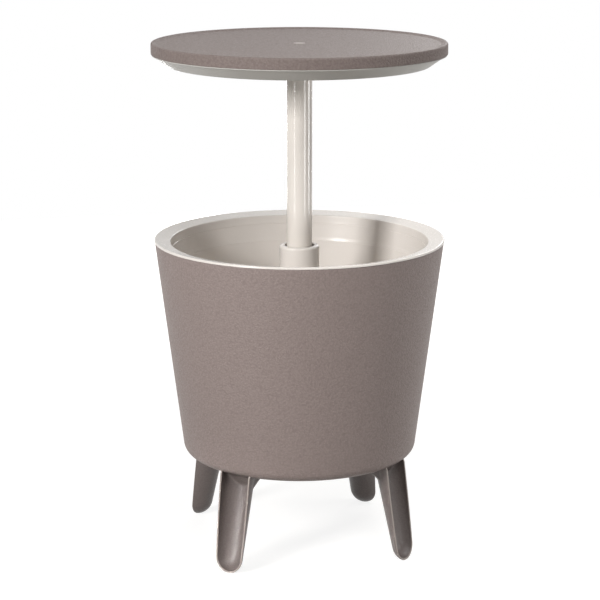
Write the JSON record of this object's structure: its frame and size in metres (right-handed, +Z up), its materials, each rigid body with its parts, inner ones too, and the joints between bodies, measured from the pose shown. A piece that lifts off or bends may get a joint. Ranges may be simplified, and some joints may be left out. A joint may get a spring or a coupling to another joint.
{
  "type": "cooler bar table",
  "caption": "Round insulated drinks cooler on splayed legs, with a round table top on a central post that lifts to make a standing bar table and lowers to close the cooler.",
  "frame": {"origin": "on the floor, on the axis of the post", "axes": "+Z up along the post, -Y towards the front, legs on the diagonals between X and Y"},
  "size_m": [0.495, 0.495, 0.8692],
  "materials": {
    "taupe_shell": "fine pebble grain",
    "pale_liner": "smooth satin gloss",
    "painted_post": "smooth gloss paint",
    "dark_plastic": "moulded, matt",
    "plated_steel": "zinc plated",
    "rubber": "matt"
  },
  "bodies": {
    "base": {"outer_shell": "taupe_shell", "inner_liner": "pale_liner", "guide_sleeve": "dark_plastic", "sleeve_screws": "plated_steel", "top_bush": "dark_plastic", "leg_front_left": "taupe_shell", "leg_front_right": "taupe_shell", "leg_rear_left": "taupe_shell", "leg_rear_right": "taupe_shell", "leg_screws": "plated_steel", "drain_pipe": "pale_liner", "drain_seal": "rubber", "drain_nut": "pale_liner"},
    "slider": {"post_guide": "dark_plastic"},
    "table": {"post_tube": "painted_post", "lock_foot": "dark_plastic", "foot_pin": "plated_steel", "post_clip": "plated_steel", "post_plug": "dark_plastic", "post_bolt": "plated_steel", "post_washer": "plated_steel", "centre_cap": "pale_liner", "table_top": "taupe_shell", "table_underside": "pale_liner", "table_screws": "plated_steel"},
    "stopper": {"drain_plug": "rubber", "plug_ring": "rubber"}
  },
  "joints": [
    {"name": "table_lift", "type": "slide", "parent": "base", "child": "slider", "axis": [0, 0, 1], "range_m": [-0.2982, 0]},
    {"name": "table_twist", "type": "hinge", "parent": "slider", "child": "table", "pos_m": [0, 0, 0.4805], "axis": [0, 0, -1], "range_deg": [0, 90]},
    {"name": "drain_pull", "type": "slide", "parent": "base", "child": "stopper", "axis": [0, 0, -1], "range_m": [0, 0.04]}
  ]
}
